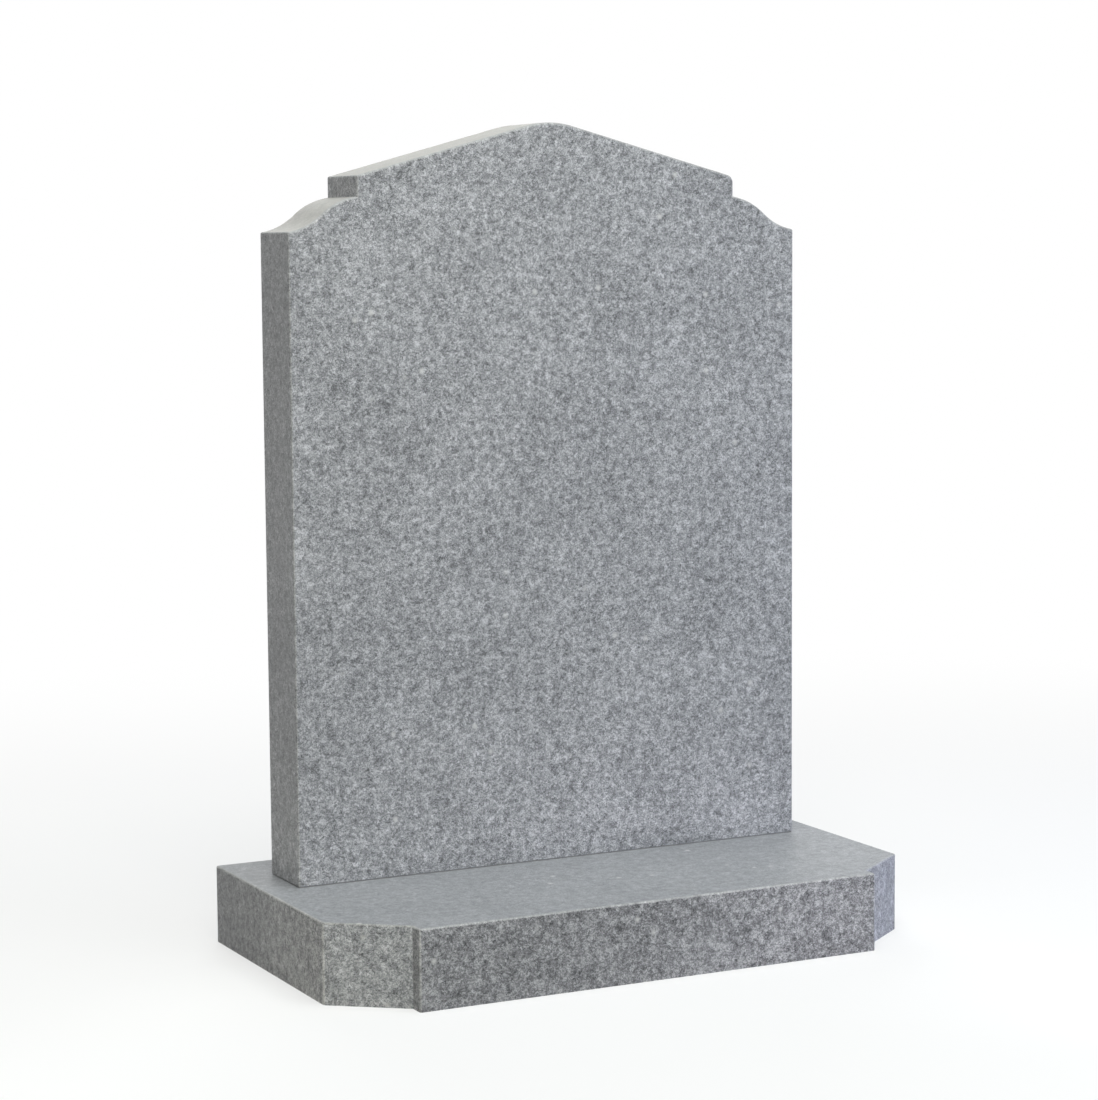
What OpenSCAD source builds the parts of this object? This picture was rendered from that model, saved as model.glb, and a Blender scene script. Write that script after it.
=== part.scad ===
// Headstone: an upright granite tablet with a gabled top and ogee shoulders,
// doweled through a thin bed joint onto a plinth with canted front corners.
// Millimetres. X runs to the right, Y to the back, Z up, and the front faces -Y.
// The origin is the middle of the plinth's underside.

/* [Tablet] */
// Height of the tablet, from its foot to the top of the rounded apex
tablet_h = 805; // [640:1:1000]
// Width of the tablet
tablet_w = 610; // [480:1:760]
// Thickness of the tablet, front to back
tablet_t = 80; // [60:1:120]

/* [Tablet top] */
// Pitch of the two gable slopes, in degrees
gable_pitch = 15; // [8:0.5:25]
// Radius that rounds the apex of the gable
apex_r = 105; // [20:5:200]
// Height of the upright check between the gable and each shoulder
check_h = 22; // [14:1:40]
// Radius that eases the top corner of the right-hand check
check_ease_r = 9; // [2:0.5:12]
// Width of the ogee on each shoulder
ogee_w = 77.5; // [60:0.5:100]
// Drop of the ogee, from the check to the side of the tablet
ogee_drop = 36.5; // [20:0.5:50]
// How far the ogee's slope swings either side of its mean slope, in degrees
ogee_swing = 17; // [8:0.5:25]
// Share of the ogee that bulges before it turns hollow
ogee_bulge_share = 0.52; // [0.35:0.01:0.65]

/* [Plinth] */
// Height of the plinth
plinth_h = 85; // [60:1:120]
// Plinth left clear at each side of the tablet
side_margin = 38; // [25:1:60]
// Plinth left clear in front of the tablet
front_margin = 230; // [180:1:300]
// Plinth left clear behind the tablet
rear_margin = 70; // [40:1:110]
// Width that each canted corner takes off the front face
cant_w = 74; // [50:1:100]
// Depth of each cant, behind the small check at the front
cant_d = 56; // [35:1:80]
// Depth of the small check at each end of the front face
corner_check_d = 17.5; // [10:0.5:30]

/* [Joint] */
// Thickness of the bed joint under the tablet
bed_t = 1.5; // [1:0.5:5]
// How far the bed joint is raked back from the tablet's faces
bed_rake = 3; // [1:0.5:8]
// Diameter of the dowels between the plinth and the tablet
dowel_d = 12; // [8:1:20]
// Depth of each dowel in the plinth
dowel_in_plinth = 55; // [35:1:58]
// Depth of each dowel in the tablet
dowel_in_tablet = 75; // [50:1:110]
// Distance of each dowel from the tablet's side
dowel_inset = 155; // [90:1:190]
// Gap around a dowel in its hole, filled with resin when it is set
dowel_gap = 1; // [0.5:0.5:3]

/* [Foundation sockets] */
// Diameter of the two sockets under the plinth, for dowels in the foundation
socket_d = 18; // [12:1:25]
// Depth of each socket
socket_depth = 50; // [30:1:55]
// Distance of each socket from the plinth's side
socket_inset = 110; // [70:1:130]

/* [Hidden] */
$fn = 64;

// Length by which a cut runs past the face that it opens
past = 1;

plinth_w = tablet_w + 2 * side_margin;
plinth_d = front_margin + tablet_t + rear_margin;
front_y = -plinth_d / 2;
tablet_y = front_y + front_margin + tablet_t / 2;
tablet_z = plinth_h + bed_t;
dowel_x = tablet_w / 2 - dowel_inset;
socket_x = plinth_w / 2 - socket_inset;

// The gable springs from the two checks and would meet in a sharp apex
gable_half_w = tablet_w / 2 - ogee_w;
sharp_apex_h = tablet_h + apex_r * (1 / cos(gable_pitch) - 1);
check_top_h = sharp_apex_h - gable_half_w * tan(gable_pitch);
check_foot_h = check_top_h - check_h;
shoulder_h = check_foot_h - ogee_drop;

// The rounded apex springs from these points on the gable slopes
apex_half_w = apex_r * sin(gable_pitch);
apex_spring_h = sharp_apex_h - apex_half_w * tan(gable_pitch);

// The eased corner turns from the gable slope into the upright check
ease_swing = (90 - gable_pitch) / 2;

// Short straight steps that make up each arc
arc_steps = 20;

// Points along an arc from p to q, without the two ends. The swing is the angle
// between the chord and the arc, and a positive one bulges to the left of pq.
function arc(p, q, swing) =
    let (chord = q - p)
    let (start = atan2(chord.y, chord.x) + swing)
    let (r = norm(chord) / (2 * sin(swing)))
    [for (i = [1 : arc_steps - 1])
        let (heading = start - 2 * swing * i / arc_steps)
        p + r * [sin(start) - sin(heading), cos(heading) - cos(start)]];

// Where the gable slope meets the check, rounded to a radius
function eased_corner(r) =
    let (reach = r * tan(ease_swing))
    let (on_gable = [gable_half_w - reach * cos(gable_pitch), check_top_h + reach * sin(gable_pitch)])
    let (on_check = [gable_half_w, check_top_h - reach])
    concat([on_gable], arc(on_gable, on_check, ease_swing), [on_check]);

// Where the gable slope meets the check, left sharp
function sharp_corner() = [[gable_half_w, check_top_h]];

// The shoulder: a bulge from the foot of the check, then a hollow to the side
function ogee() =
    let (top = [gable_half_w, check_foot_h])
    let (end = [tablet_w / 2, shoulder_h])
    let (turn = top + ogee_bulge_share * (end - top))
    concat([top], arc(top, turn, ogee_swing), [turn], arc(turn, end, -ogee_swing), [end]);

// One side of the tablet, from the apex rounding down to the foot
function side_outline(corner) =
    concat([[apex_half_w, apex_spring_h]], corner, ogee(), [[tablet_w / 2, 0]]);

function mirrored(points) =
    [for (i = [len(points) - 1 : -1 : 0]) [-points[i].x, points[i].y]];

module tablet_outline() {
    left = mirrored(side_outline(sharp_corner()));
    right = side_outline(eased_corner(check_ease_r));
    polygon(concat(left, arc(left[len(left) - 1], right[0], gable_pitch), right));
}

// Upright holes for the two dowels, at the same places in every piece
module dowel_holes(z0, z1) {
    for (side = [-1, 1])
        translate([side * dowel_x, tablet_y, z0])
            cylinder(h = z1 - z0, d = dowel_d + 2 * dowel_gap);
}

module tablet() {
    color([0.58, 0.59, 0.58])
        difference() {
            translate([0, tablet_y + tablet_t / 2, tablet_z])
                rotate([90, 0, 0]) linear_extrude(tablet_t) tablet_outline();
            dowel_holes(tablet_z - past, tablet_z + dowel_in_tablet + dowel_gap);
        }
}

// Rectangular plan with both front corners canted, each with a small check
module plinth_outline() {
    front_half_w = plinth_w / 2 - cant_w;
    check_y = front_y + corner_check_d;
    polygon([
        [-front_half_w, front_y],
        [front_half_w, front_y],
        [front_half_w, check_y],
        [plinth_w / 2, check_y + cant_d],
        [plinth_w / 2, -front_y],
        [-plinth_w / 2, -front_y],
        [-plinth_w / 2, check_y + cant_d],
        [-front_half_w, check_y]
    ]);
}

module plinth() {
    color([0.60, 0.61, 0.61])
        difference() {
            linear_extrude(plinth_h) plinth_outline();
            dowel_holes(plinth_h - dowel_in_plinth, plinth_h + past);
            for (side = [-1, 1])
                translate([side * socket_x, tablet_y, -past])
                    cylinder(h = socket_depth + past, d = socket_d);
        }
}

module bed_joint() {
    bed_w = tablet_w - 2 * bed_rake;
    bed_d = tablet_t - 2 * bed_rake;
    color([0.16, 0.16, 0.15])
        difference() {
            translate([-bed_w / 2, tablet_y - bed_d / 2, plinth_h]) cube([bed_w, bed_d, bed_t]);
            dowel_holes(plinth_h - past, tablet_z + past);
        }
}

module dowel(side) {
    color([0.72, 0.73, 0.74])
        translate([side * dowel_x, tablet_y, plinth_h - dowel_in_plinth])
            cylinder(h = dowel_in_plinth + bed_t + dowel_in_tablet, d = dowel_d);
}

plinth();
bed_joint();
dowel(-1);  // dowel_left
dowel(1);  // dowel_right
tablet();
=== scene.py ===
import bpy
from math import cos, pi, radians, sin, tan
from mathutils import Matrix, Vector


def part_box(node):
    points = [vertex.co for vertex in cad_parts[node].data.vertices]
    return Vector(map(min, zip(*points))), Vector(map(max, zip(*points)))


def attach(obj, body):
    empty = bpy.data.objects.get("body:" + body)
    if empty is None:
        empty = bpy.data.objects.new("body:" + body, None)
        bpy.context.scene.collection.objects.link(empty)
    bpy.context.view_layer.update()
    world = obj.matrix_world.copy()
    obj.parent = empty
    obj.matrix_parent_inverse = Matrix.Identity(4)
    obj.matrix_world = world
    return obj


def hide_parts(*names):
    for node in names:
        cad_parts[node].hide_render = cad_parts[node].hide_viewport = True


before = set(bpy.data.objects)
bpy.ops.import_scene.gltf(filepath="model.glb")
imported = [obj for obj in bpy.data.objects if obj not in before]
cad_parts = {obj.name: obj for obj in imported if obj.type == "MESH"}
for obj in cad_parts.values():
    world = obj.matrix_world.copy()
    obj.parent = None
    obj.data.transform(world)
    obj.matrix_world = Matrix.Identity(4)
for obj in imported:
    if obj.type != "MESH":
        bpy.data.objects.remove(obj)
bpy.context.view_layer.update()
mesh_ops = bpy.ops.mesh


# ---------------------------------------------------------------- plinth
# A low block of grey granite that lies on the ground, with canted front corners
# and a small check beside each cant. It is polished, rubbed softer on its top and
# cants, and drilled for the tablet's dowels above and the foundation's below. Its
# top and cants are painted paler as a painted sheen, its eased edges paler as a
# painted highlight, and all of it a little darker as painted shade near the ground.
cant_width = 0.074
cant_depth = 0.056
corner_check = 0.0175
plinth_arris = 0.0018
arris_steps = 2
dowel_hole_radius = 0.007
dowel_in_plinth = 0.055
socket_radius = 0.009
socket_depth = 0.050
socket_inset = 0.110
hole_sides = 48
past = 0.001  # how far a cut or a test reaches past the face it is meant for
sharp = radians(20)
smooth = radians(15)
plinth_low, plinth_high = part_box("plinth")
tablet_low, tablet_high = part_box("tablet")
dowel_low, dowel_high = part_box("dowel_right")
dowel_x = (dowel_low.x + dowel_high.x) / 2
tablet_y = (tablet_low.y + tablet_high.y) / 2
socket_x = plinth_high.x - socket_inset
front_y = plinth_low.y + corner_check

# The stone: its crystals' size and tone, and its mottling, clouds and feldspars
crystal_wander = 0.0011
wander_scale = 900.0
fine_ratio = 2.4
fine_share = 0.63
cluster_ratio = 0.29
cloud_scale = 9.0
cloud_share = 0.10
dark_to_pale = (0.20, 0.50, 0.77)
# The tone that the upward faces' grain is evened towards, a painted sheen
sheen_tone = 0.5
gloss = 0.25
feldspar_scale = 52.0
feldspar_rarity = 0.92
feldspar_core = 0.07
feldspar_rim = 0.22
feldspar_cover = 0.75
feldspar_tone = (0.70, 0.70, 0.69, 1)
# The plinth's stone; the evening of its upward faces is a painted sheen
plinth_stone = {"offset": (0.31, 0.17, 0.05), "grain": 390.0, "mottle": 0.40, "sheen_share": 0.55}


def start_piece(name, low, high):
    # A block between two corners, with its place in its mesh, open for editing
    bpy.ops.object.select_all(action="DESELECT")
    mesh_ops.primitive_cube_add(size=1, location=(low + high) / 2, scale=high - low)
    bpy.ops.object.transform_apply(location=True, rotation=True, scale=True)
    piece = bpy.context.object
    piece.name = name
    bpy.ops.object.mode_set(mode="EDIT")
    return piece


def saw(point, normal):
    # Takes away all that lies beyond a plane and closes the cut
    mesh_ops.select_all(action="SELECT")
    mesh_ops.bisect(plane_co=point, plane_no=normal, use_fill=True, clear_outer=True)


def pick_faces(piece, wanted):
    # Selects the faces that wanted(face) picks out
    bpy.ops.object.mode_set(mode="OBJECT")
    bpy.context.tool_settings.mesh_select_mode = (False, False, True)
    for part in (*piece.data.vertices, *piece.data.edges):
        part.select = False
    for face in piece.data.polygons:
        face.select = wanted(face)
    bpy.ops.object.mode_set(mode="EDIT")


def pick_edges(piece, wanted):
    # Selects the outward edges that wanted(one end, other end) picks out
    bpy.ops.object.mode_set(mode="OBJECT")
    bpy.context.tool_settings.mesh_select_mode = (False, True, False)
    mesh = piece.data
    beside = {}
    for face in mesh.polygons:
        for key in face.edge_keys:
            beside.setdefault(key, []).append(face)
    for part in (*mesh.vertices, *mesh.polygons):
        part.select = False
    for edge in mesh.edges:
        one, other = beside[edge.key]
        corner = one.normal.angle(other.normal) > sharp
        outward = (other.center - one.center).dot(one.normal) < 0
        ends = [mesh.vertices[v].co for v in edge.vertices]
        edge.select = corner and outward and wanted(*ends)
    bpy.ops.object.mode_set(mode="EDIT")


def assign_slot(piece, index):
    # Puts the selected faces in one of the piece's materials: 1 eased, painted paler
    # as a highlight, 2 rubbed, painted paler as a sheen
    piece.active_material_index = index
    bpy.ops.object.material_slot_assign()
    bpy.ops.object.mode_set(mode="OBJECT")


def ease_edges(piece, width, steps, wanted):
    # Rounds the outward edges and makes them more matt; their paler colour is a
    # painted highlight
    pick_edges(piece, wanted)
    mesh_ops.bevel(offset=width, offset_type="OFFSET", segments=steps, profile=0.5)
    assign_slot(piece, 1)


def takes_rubbed_sheen(face):
    # The tops and the cants, apart from the eased edges, which take the rubbed finish
    # and its painted sheen
    canted = face.normal.y < -0.7 and abs(face.normal.x) > 0.5
    return face.material_index == 0 and (canted or face.normal.z > 0.5)


def drill(piece, x, y, low, high, radius):
    # Bores an upright round hole between two heights
    bpy.ops.object.select_all(action="DESELECT")
    mesh_ops.primitive_cylinder_add(
        vertices=hole_sides, radius=radius, depth=high - low, location=(x, y, (low + high) / 2)
    )
    core = bpy.context.object
    bpy.context.view_layer.objects.active = piece
    hole = piece.modifiers.new("hole", "BOOLEAN")
    hole.object = core
    hole.solver = "EXACT"
    bpy.ops.object.modifier_apply(modifier=hole.name)
    bpy.data.objects.remove(core)


def finish_piece(piece, slot, *nodes):
    # Polished faces stay flat and the curves smooth, and the piece takes its node's place
    bpy.ops.object.select_all(action="DESELECT")
    piece.select_set(True)
    bpy.context.view_layer.objects.active = piece
    bpy.ops.object.shade_smooth_by_angle(angle=smooth)
    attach(piece, "root")
    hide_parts(*nodes)


def new_material(name):
    # A material, with its node tree and its surface shader
    material = bpy.data.materials.new(name)
    material.use_nodes = True
    return material, material.node_tree, material.node_tree.nodes["Principled BSDF"]


def add(tree, kind, **values):
    # A node, with some of its inputs or settings given
    node = tree.nodes.new(kind)
    for key, value in values.items():
        if key in node.inputs:
            node.inputs[key].default_value = value
        else:
            setattr(node, key, value)
    return node


def stretch(tree, value, low, high, to_low=0.0, to_high=1.0, **settings):
    # Maps a value's range on to another, and no further
    node = add(tree, "ShaderNodeMapRange", **settings)
    ranges = {"From Min": low, "From Max": high, "To Min": to_low, "To Max": to_high}
    for key, number in ranges.items():
        node.inputs[key].default_value = number
    tree.links.new(value, node.inputs["Value"])
    return node.outputs["Result"]


def blend(tree, share, first, second):
    node = add(tree, "ShaderNodeMix", data_type="FLOAT")
    node.inputs["Factor"].default_value = share
    tree.links.new(first, node.inputs["A"])
    tree.links.new(second, node.inputs["B"])
    return node.outputs["Result"]


def granite(name, offset, dark, middle, pale, grain, mottle, sheen_share, roughness):
    # Interlocked crystals in every tone from dark to pale, mottled over several
    # millimetres, with a few soft white feldspars
    material, tree, shader = new_material(name)
    shader.inputs["Specular IOR Level"].default_value = gloss
    link = tree.links.new
    place = add(tree, "ShaderNodeTexCoord")
    block = add(tree, "ShaderNodeMapping", Location=offset)
    link(place.outputs["Object"], block.inputs["Vector"])
    spot = block.outputs["Vector"]

    # The crystals' edges wander, so no straight cell walls show
    wander = add(tree, "ShaderNodeTexNoise", Scale=wander_scale, Detail=1.0)
    link(spot, wander.inputs["Vector"])
    bent = add(tree, "ShaderNodeVectorMath", operation="MULTIPLY_ADD")
    bent.inputs[1].default_value = (crystal_wander,) * 3
    link(wander.outputs["Color"], bent.inputs[0])
    link(spot, bent.inputs[2])

    def crystals(scale):
        # How far a point is from its crystal's middle, and the crystal's own tone
        cells = add(tree, "ShaderNodeTexVoronoi", Scale=scale)
        link(bent.outputs["Vector"], cells.inputs["Vector"])
        channels = add(tree, "ShaderNodeSeparateColor")
        link(cells.outputs["Color"], channels.inputs["Color"])
        return cells.outputs["Distance"], channels.outputs["Red"]

    def patches(**values):
        noise = add(tree, "ShaderNodeTexNoise", **values)
        link(spot, noise.inputs["Vector"])
        return noise.outputs["Fac"]

    coarse = crystals(grain)[1]
    fine = crystals(grain * fine_ratio)[1]
    cluster = patches(Scale=grain * cluster_ratio, Detail=2.0, Roughness=0.6)
    crystal = blend(tree, fine_share, coarse, fine)
    tone = blend(tree, mottle, crystal, stretch(tree, cluster, 0.2, 0.8))

    # Wide clouds, a little paler or darker, run through the whole block
    cloud = patches(Scale=cloud_scale, Detail=3.0, Roughness=0.5)
    tone = blend(tree, cloud_share, tone, stretch(tree, cloud, 0.25, 0.75))

    # The faces that look up have their grain evened towards the middle tone, a
    # painted sheen that washes the grain out
    facing = add(tree, "ShaderNodeSeparateXYZ")
    link(place.outputs["Normal"], facing.inputs["Vector"])
    sheen_washed = add(tree, "ShaderNodeMix", data_type="FLOAT")
    sheen_mask = stretch(tree, facing.outputs["Z"], 0.3, 0.7, 0.0, sheen_share)
    link(sheen_mask, sheen_washed.inputs["Factor"])
    link(tone, sheen_washed.inputs["A"])
    sheen_washed.inputs["B"].default_value = sheen_tone
    ramp = add(tree, "ShaderNodeValToRGB")
    stops = ramp.color_ramp.elements
    stops.new(dark_to_pale[1])
    for stop, position, colour in zip(stops, dark_to_pale, (dark, middle, pale)):
        stop.position = position
        stop.color = (*colour, 1)
    link(sheen_washed.outputs["Result"], ramp.inputs["Fac"])

    # Here and there a larger white feldspar, soft at its edge
    distance, choice = crystals(feldspar_scale)
    chosen = add(tree, "ShaderNodeMath", operation="GREATER_THAN")
    chosen.inputs[1].default_value = feldspar_rarity
    link(choice, chosen.inputs[0])
    fleck = add(tree, "ShaderNodeMath", operation="MULTIPLY")
    cover = stretch(tree, distance, feldspar_core, feldspar_rim, feldspar_cover, 0.0)
    link(cover, fleck.inputs[0])
    link(chosen.outputs["Value"], fleck.inputs[1])
    surface = add(tree, "ShaderNodeMix", data_type="RGBA")
    link(fleck.outputs["Value"], surface.inputs["Factor"])
    link(ramp.outputs["Color"], surface.inputs["A"])
    surface.inputs["B"].default_value = feldspar_tone
    link(surface.outputs["Result"], shader.inputs["Base Color"])

    # The softer crystals polish a little less than the rest
    polish = stretch(tree, coarse, 0, 1, roughness - 0.04, roughness + 0.06)
    link(polish, shader.inputs["Roughness"])
    relief = add(tree, "ShaderNodeBump", Strength=0.06, Distance=0.0001)
    link(fine, relief.inputs["Height"])
    link(relief.outputs["Normal"], shader.inputs["Normal"])
    return material


# Darker tones than the tablet's: painted shade for the lower light the plinth gets near the
# ground
plinth_materials = (
    granite(
        "plinth_granite",
        dark=(0.072, 0.074, 0.078),
        middle=(0.262, 0.265, 0.277),
        pale=(0.580, 0.584, 0.602),
        roughness=0.36,
        **plinth_stone,
    ),
    # Paler tones on the eased edges: a painted highlight; the higher roughness is their own matt
    # finish
    granite(
        "plinth_eased_highlight",
        dark=(0.185, 0.188, 0.192),
        middle=(0.410, 0.414, 0.418),
        pale=(0.680, 0.684, 0.688),
        roughness=0.55,
        **plinth_stone,
    ),
    # Paler, bluer tones on the top and cants: a painted sheen; the higher roughness is their
    # rubbed finish
    granite(
        "plinth_rubbed_sheen",
        dark=(0.100, 0.104, 0.111),
        middle=(0.318, 0.327, 0.346),
        pale=(0.635, 0.645, 0.670),
        roughness=0.45,
        **plinth_stone,
    ),
)
plinth = start_piece(
    "plinth_stone", Vector((plinth_low.x, front_y, plinth_low.z)), plinth_high
)
for stone_material in plinth_materials:
    plinth.data.materials.append(stone_material)
for side in (-1, 1):
    corner = (side * (plinth_high.x - cant_width), front_y, 0)
    saw(corner, (side * cant_depth, -cant_width, 0))
pick_faces(plinth, lambda face: face.normal.y < -0.99)
mesh_ops.extrude_region_move(TRANSFORM_OT_translate={"value": (0, -corner_check, 0)})
ease_edges(plinth, plinth_arris, arris_steps, lambda one, other: max(one.z, other.z) > past)
# The top and cants take the rubbed finish with its painted sheen
pick_faces(plinth, takes_rubbed_sheen)
assign_slot(plinth, 2)
for side in (-1, 1):
    drill(
        plinth, side * dowel_x, tablet_y,
        plinth_high.z - dowel_in_plinth, plinth_high.z + past, dowel_hole_radius,
    )
    drill(plinth, side * socket_x, tablet_y, -past, socket_depth, socket_radius)
finish_piece(plinth, "plinth_granite", "plinth")


# ---------------------------------------------------------------- bed joint
# A thin bed of grey sealant between the two stones. It is tooled a little
# hollow and just back from the tablet's faces, so that only a fine line shows.
joint_recess = 0.0007
joint_hollow = 0.0004
smear_scale = 260.0
bed_low, bed_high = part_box("bed_joint")
sealant, sealant_tree, sealant_shader = new_material("bed_sealant")
sealant_shader.inputs["Roughness"].default_value = 0.75
smear_place = add(sealant_tree, "ShaderNodeTexCoord")
smear = add(sealant_tree, "ShaderNodeTexNoise", Scale=smear_scale)
smear_tone = add(sealant_tree, "ShaderNodeValToRGB")
smear_tone.color_ramp.elements[0].color = (0.260, 0.262, 0.262, 1)
smear_tone.color_ramp.elements[1].color = (0.380, 0.382, 0.380, 1)
sealant_tree.links.new(smear_place.outputs["Object"], smear.inputs["Vector"])
sealant_tree.links.new(smear.outputs["Fac"], smear_tone.inputs["Fac"])
sealant_tree.links.new(smear_tone.outputs["Color"], sealant_shader.inputs["Base Color"])

recess = Vector((joint_recess, joint_recess, 0))
bed = start_piece(
    "bed_sealant",
    Vector((tablet_low.x, tablet_low.y, bed_low.z)) + recess,
    Vector((tablet_high.x, tablet_high.y, bed_high.z)) - recess,
)
bed_middle = Vector((0, tablet_y, (bed_low.z + bed_high.z) / 2))
mesh_ops.select_all(action="SELECT")
mesh_ops.bisect(plane_co=bed_middle, plane_no=(0, 0, 1))
hollow_x = 1 - joint_hollow / tablet_high.x
hollow_y = 1 - 2 * joint_hollow / (tablet_high.y - tablet_low.y)
bpy.ops.transform.resize(value=(hollow_x, hollow_y, 1), center_override=bed_middle)
bpy.ops.object.mode_set(mode="OBJECT")
for side in (-1, 1):
    drill(
        bed, side * dowel_x, tablet_y, bed_low.z - past, bed_high.z + past, dowel_hole_radius
    )
bed.data.materials.append(sealant)
finish_piece(bed, "joint_sealant", "bed_joint")


# ---------------------------------------------------------------- dowels
# Two lengths of drawn stainless bar, set in resin, that tie the tablet to the
# plinth. They are hidden once the tablet is down.
line_scale = 1500.0
line_stretch = 0.03
stainless, bar_tree, bar_shader = new_material("stainless_bar")
bar_shader.inputs["Metallic"].default_value = 1.0
bar_shader.inputs["Base Color"].default_value = (0.58, 0.59, 0.60, 1)
bar_place = add(bar_tree, "ShaderNodeTexCoord")
bar_block = add(bar_tree, "ShaderNodeMapping")
bar_block.inputs["Scale"].default_value = (1, 1, line_stretch)
bar_lines = add(bar_tree, "ShaderNodeTexNoise", Scale=line_scale)
bar_tree.links.new(bar_place.outputs["Object"], bar_block.inputs["Vector"])
bar_tree.links.new(bar_block.outputs["Vector"], bar_lines.inputs["Vector"])
bar_rough = stretch(bar_tree, bar_lines.outputs["Fac"], 0, 1, 0.25, 0.45)
bar_tree.links.new(bar_rough, bar_shader.inputs["Roughness"])
for name in ("dowel_left", "dowel_right"):
    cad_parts[name].data.materials.clear()
    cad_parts[name].data.materials.append(stainless)


# ---------------------------------------------------------------- tablet
# The headstone itself: one slab of granite, cut to a template with a rounded
# gable, an upright check at each end of it, and an ogee down to each side.
# It is polished, rubbed softer on its head, and eased along its edges. Its head
# is painted paler and warmer as a painted sheen, and its eased edges paler as a
# painted highlight.
ogee_width = 0.0775
ogee_drop = 0.0365
ogee_swing = radians(17)
bulge_share = 0.52
check_height = 0.022
gable_pitch = radians(15)
apex_radius = 0.105
eased_radius = 0.009
curve_steps = 16
corner_steps = 10
same_point = 0.00001
tablet_arris = 0.0015
head_arris = 0.0026
head_arris_steps = 8
dowel_in_tablet = 0.076
# The tablet's stone; the evening of its upward faces is a painted sheen
tablet_stone = {"offset": (0.0, 0.0, 0.0), "grain": 410.0, "mottle": 0.38, "sheen_share": 0.78}
gable_half = tablet_high.x - ogee_width
sharp_apex = tablet_high.z + apex_radius * (1 / cos(gable_pitch) - 1)
check_top = sharp_apex - gable_half * tan(gable_pitch)
check_foot = check_top - check_height
shoulder = check_foot - ogee_drop


def draw_line(start, end):
    # Carries the outline on in a straight line from the point it has reached
    mesh_ops.extrude_region_move(TRANSFORM_OT_translate={"value": end - start})
    return end


def draw_arc(start, end, swing, steps):
    # Carries the outline on along an arc that leaves its chord by the swing
    # angle, to the left of the way it runs, or to the right for a negative one
    chord = end - start
    radius = chord.length / (2 * sin(swing))
    left = Vector((-chord.z, 0, chord.x)).normalized()
    centre = (start + end) / 2 - left * radius * cos(swing)
    mesh_ops.spin(steps=steps, angle=-2 * swing, center=centre, axis=(0, 1, 0))
    return end


def on_face(x, z):
    # A point of the template, on the tablet's front face
    return Vector((x, tablet_low.y, z))


def on_head(spot):
    # On the front edge of the ogees, the checks or the gable
    return spot.z > shoulder - past and spot.y < tablet_low.y + past


# The template starts as the plain part of the face, up to the shoulders
bpy.ops.object.select_all(action="DESELECT")
mesh_ops.primitive_plane_add(
    size=1, location=on_face(0, (tablet_low.z + shoulder) / 2), rotation=(pi / 2, 0, 0)
)
tablet = bpy.context.object
tablet.name = "tablet_stone"
tablet.scale = (tablet_high.x - tablet_low.x, shoulder - tablet_low.z, 1)
bpy.ops.object.transform_apply(location=True, rotation=True, scale=True)
bpy.context.tool_settings.mesh_select_mode = (False, True, False)
for part in (*tablet.data.vertices, *tablet.data.edges, *tablet.data.polygons):
    part.select = False
for edge in tablet.data.edges:
    edge.select = all(tablet.data.vertices[v].co.z > shoulder - past for v in edge.vertices)
bpy.ops.object.mode_set(mode="EDIT")
mesh_ops.delete(type="EDGE")
bpy.ops.object.mode_set(mode="OBJECT")
bpy.context.tool_settings.mesh_select_mode = (True, False, False)
for corner in tablet.data.vertices:
    corner.select = corner.co.x > 0 and corner.co.z > shoulder - past
bpy.ops.object.mode_set(mode="EDIT")

# Up the right shoulder, over the gable and down the left shoulder
eased_reach = eased_radius * tan((pi / 2 - gable_pitch) / 2)
apex_half = apex_radius * sin(gable_pitch)
bulge_x = gable_half + bulge_share * ogee_width
bulge_z = check_foot - bulge_share * ogee_drop
eased_end = on_face(
    gable_half - eased_reach * cos(gable_pitch), check_top + eased_reach * sin(gable_pitch)
)
point = on_face(tablet_high.x, shoulder)
point = draw_arc(point, on_face(bulge_x, bulge_z), ogee_swing, curve_steps)
point = draw_arc(point, on_face(gable_half, check_foot), -ogee_swing, curve_steps)
point = draw_line(point, on_face(gable_half, check_top - eased_reach))
point = draw_arc(point, eased_end, (gable_pitch - pi / 2) / 2, corner_steps)
point = draw_line(point, on_face(apex_half, sharp_apex - apex_half * tan(gable_pitch)))
point = draw_arc(point, on_face(-point.x, point.z), -gable_pitch, curve_steps)
point = draw_line(point, on_face(-gable_half, check_top))
point = draw_line(point, on_face(-gable_half, check_foot))
point = draw_arc(point, on_face(-bulge_x, bulge_z), -ogee_swing, curve_steps)
point = draw_arc(point, on_face(tablet_low.x, shoulder), ogee_swing, curve_steps)
mesh_ops.select_all(action="SELECT")
mesh_ops.remove_doubles(threshold=same_point)
mesh_ops.edge_face_add()

# The slab is cut to the template, eased along every edge but the foot and drilled
tablet_materials = (
    granite(
        "tablet_granite",
        dark=(0.118, 0.122, 0.126),
        middle=(0.345, 0.351, 0.367),
        pale=(0.685, 0.690, 0.712),
        roughness=0.34,
        **tablet_stone,
    ),
    # Paler tones on the eased edges: a painted highlight; the higher roughness is their own matt
    # finish
    granite(
        "tablet_eased_highlight",
        dark=(0.170, 0.174, 0.178),
        middle=(0.395, 0.398, 0.406),
        pale=(0.690, 0.694, 0.702),
        roughness=0.55,
        **tablet_stone,
    ),
    # Paler, warmer tones on the head: a painted sheen; the higher roughness is its rubbed finish
    granite(
        "tablet_rubbed_sheen",
        dark=(0.140, 0.138, 0.132),
        middle=(0.404, 0.396, 0.382),
        pale=(0.780, 0.766, 0.735),
        roughness=0.45,
        **tablet_stone,
    ),
)
mesh_ops.extrude_region_move(
    TRANSFORM_OT_translate={"value": (0, tablet_high.y - tablet_low.y, 0)}
)
mesh_ops.select_all(action="SELECT")
mesh_ops.normals_make_consistent(inside=False)
for stone_material in tablet_materials:
    tablet.data.materials.append(stone_material)
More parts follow.
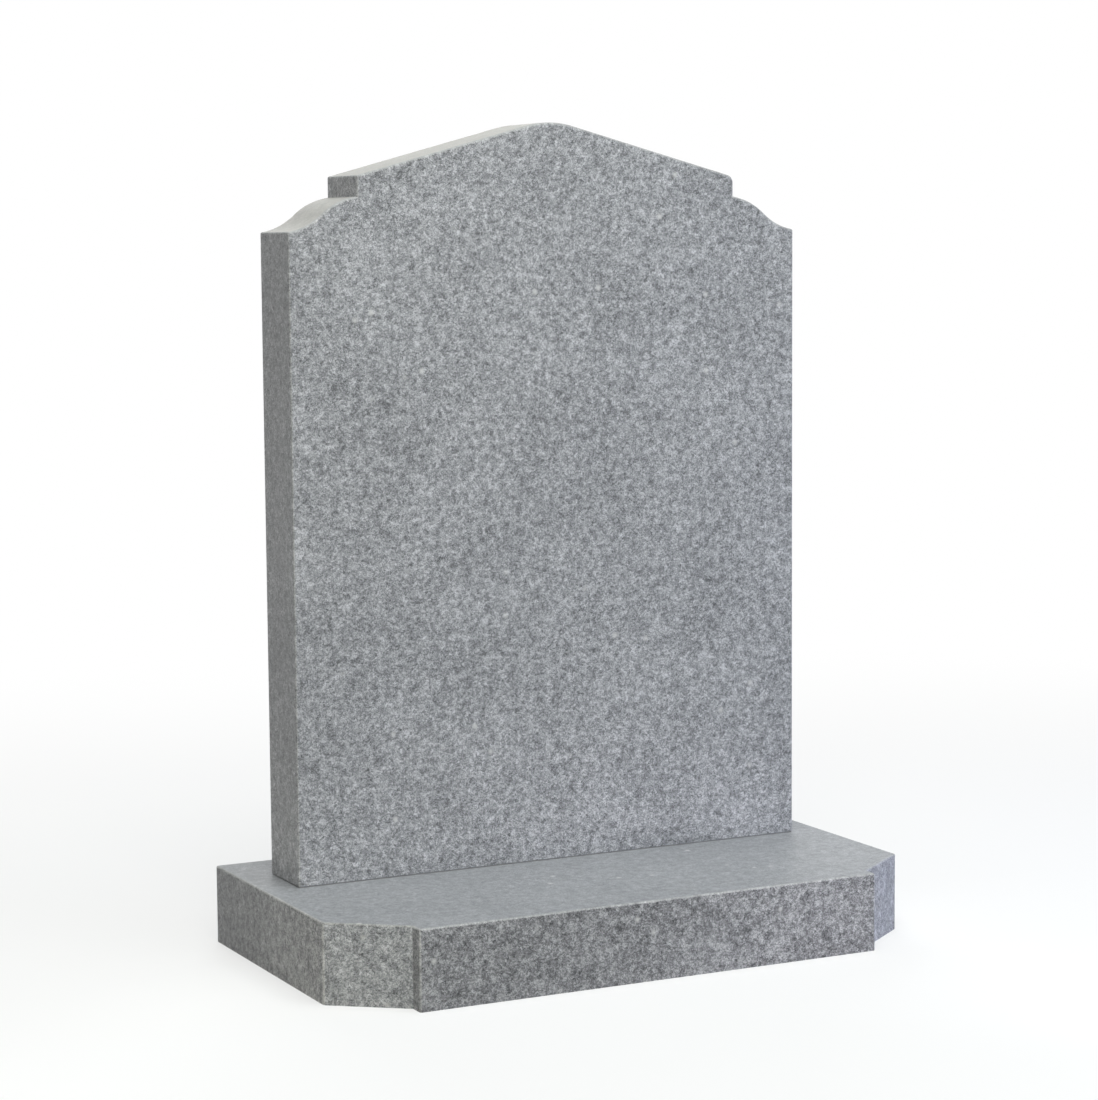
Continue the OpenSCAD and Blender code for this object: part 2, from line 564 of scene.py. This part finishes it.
ease_edges(
    tablet, head_arris, head_arris_steps, lambda one, other: on_head(one) and on_head(other)
)
ease_edges(
    tablet, tablet_arris, arris_steps,
    lambda one, other: max(one.z, other.z) > tablet_low.z + past,
)
# The head takes the rubbed finish with its painted sheen
pick_faces(tablet, takes_rubbed_sheen)
assign_slot(tablet, 2)
for side in (-1, 1):
    drill(
        tablet, side * dowel_x, tablet_y,
        tablet_low.z - past, tablet_low.z + dowel_in_tablet, dowel_hole_radius,
    )
finish_piece(tablet, "tablet_granite", "tablet")


# ---------------------------------------------------------------- studio
# A plain pale floor that fades into a white backdrop, and soft lamps around
# the stone. The floor and the backdrop are white to the eye and in the polish.
floor_size = 60
fade_start = 0.7
fade_end = 2.4
white = (1, 1, 1, 1)


def mix_shaders(tree, share, first, second):
    node = add(tree, "ShaderNodeMixShader")
    tree.links.new(share, node.inputs["Fac"])
    tree.links.new(first, node.inputs[1])
    tree.links.new(second, node.inputs[2])
    return node.outputs["Shader"]


def seen(tree):
    # 1 where the eye sees a thing, straight or in a polish, 0 where it only gives light
    ray = add(tree, "ShaderNodeLightPath")
    either = add(tree, "ShaderNodeMath", operation="MAXIMUM")
    tree.links.new(ray.outputs["Is Camera Ray"], either.inputs[0])
    tree.links.new(ray.outputs["Is Glossy Ray"], either.inputs[1])
    any_ray = add(tree, "ShaderNodeMath", operation="MAXIMUM")
    tree.links.new(either.outputs["Value"], any_ray.inputs[0])
    tree.links.new(ray.outputs["Is Transmission Ray"], any_ray.inputs[1])
    return any_ray.outputs["Value"]


def lamp(name, place, aim, width, height, power, colour, in_polish=True, spread=180):
    # A softbox that faces the point it is aimed at, seen in the polish or not
    light = bpy.data.lights.new(name, "AREA")
    light.shape = "RECTANGLE"
    light.size, light.size_y = width, height
    light.energy, light.color = power, colour
    light.spread = radians(spread)
    box = bpy.data.objects.new(name, light)
    bpy.context.collection.objects.link(box)
    box.location = place
    box.rotation_euler = (Vector(aim) - Vector(place)).to_track_quat("-Z", "Y").to_euler()
    box.visible_camera = False
    box.visible_glossy = in_polish


bpy.ops.object.select_all(action="DESELECT")
mesh_ops.primitive_plane_add(size=floor_size)
floor = bpy.context.object
floor.name = "studio_floor"
floor_paint = bpy.data.materials.new("floor_paint")
floor_paint.use_nodes = True
paint = floor_paint.node_tree
paint.nodes.clear()
floor_place = add(paint, "ShaderNodeTexCoord")
floor_reach = add(paint, "ShaderNodeVectorMath", operation="LENGTH")
paint.links.new(floor_place.outputs["Object"], floor_reach.inputs[0])
fade = stretch(
    paint, floor_reach.outputs["Value"], fade_start, fade_end, 0.55, 1.0,
    interpolation_type="SMOOTHSTEP",
)
floor_glow = add(paint, "ShaderNodeEmission", Color=white)
floor_pale = add(paint, "ShaderNodeBsdfDiffuse", Color=(0.92, 0.92, 0.92, 1))
floor_grey = add(paint, "ShaderNodeBsdfDiffuse", Color=(0.30, 0.30, 0.30, 1))
floor_seen = mix_shaders(paint, fade, floor_pale.outputs["BSDF"], floor_glow.outputs["Emission"])
floor_either = mix_shaders(paint, seen(paint), floor_grey.outputs["BSDF"], floor_seen)
floor_out = add(paint, "ShaderNodeOutputMaterial")
paint.links.new(floor_either, floor_out.inputs["Surface"])
floor.data.materials.append(floor_paint)

world = bpy.data.worlds.new("studio_world")
bpy.context.scene.world = world
world.use_nodes = True
air = world.node_tree
ambient = air.nodes["Background"]
ambient.inputs["Color"].default_value = white
ambient.inputs["Strength"].default_value = 0.07
backdrop = add(air, "ShaderNodeBackground", Color=white)
air_either = mix_shaders(
    air, seen(air), ambient.outputs["Background"], backdrop.outputs["Background"]
)
air.links.new(air_either, air.nodes["World Output"].inputs["Surface"])

lamp("key", (-1.2, -3.2, 2.7), (0, 0, 0.55), 2.2, 1.6, 53, (1.0, 1.0, 0.90))
lamp("front_left", (-2.3, -2.9, 0.9), (-0.3, -0.1, 0.3), 1.2, 1.0, 7.5, (1.0, 1.0, 1.0))
lamp("front_right", (1.4, -2.2, 0.45), (0.2, 0, 0.3), 1.0, 0.6, 7.5, (0.92, 0.95, 1.0), False)
lamp(
    "low_left", (-0.95, -0.40, 0.04), (-0.32, -0.10, 0.03),
    0.3, 0.05, 0.046, (1.0, 0.97, 0.80), False, spread=36,
)
lamp(
    "low_right", (0.52, -0.74, 0.04), (0.22, -0.19, 0.02),
    0.3, 0.05, 0.075, (0.96, 0.92, 1.0), False, spread=36,
)
lamp("right_blue", (1.9, -0.6, 0.35), (0.3, -0.1, 0.05), 0.8, 0.6, 7.2, (0.20, 0.36, 1.0))
lamp("top", (0.0, -0.8, 3.2), (0, 0, 0.2), 2.4, 2.4, 80, (0.96, 1.0, 0.98), False)
lamp("back", (0.9, 3.2, 1.9), (0, 0, 0.4), 2.2, 1.8, 56, (1.0, 1.0, 1.0), False)
bpy.context.scene.view_settings.view_transform = "Standard"


# ---------------------------------------------------------------- camera
# A little above the middle of the tablet and well round to its left, with a
# long lens, dipped to take in the plinth
heading = -26.701
dip = 6.082
roll = -0.444
view = bpy.data.cameras.new("camera")
view.lens = 95.47
view.clip_end = 60
camera = bpy.data.objects.new("camera", view)
bpy.context.collection.objects.link(camera)
camera.location = (-1.4293, -2.7901, 0.7664)
turn = (
    Matrix.Rotation(radians(heading), 4, "Z")
    @ Matrix.Rotation(radians(90 - dip), 4, "X")
    @ Matrix.Rotation(radians(roll), 4, "Z")
)
camera.rotation_euler = turn.to_euler()
bpy.context.scene.camera = camera
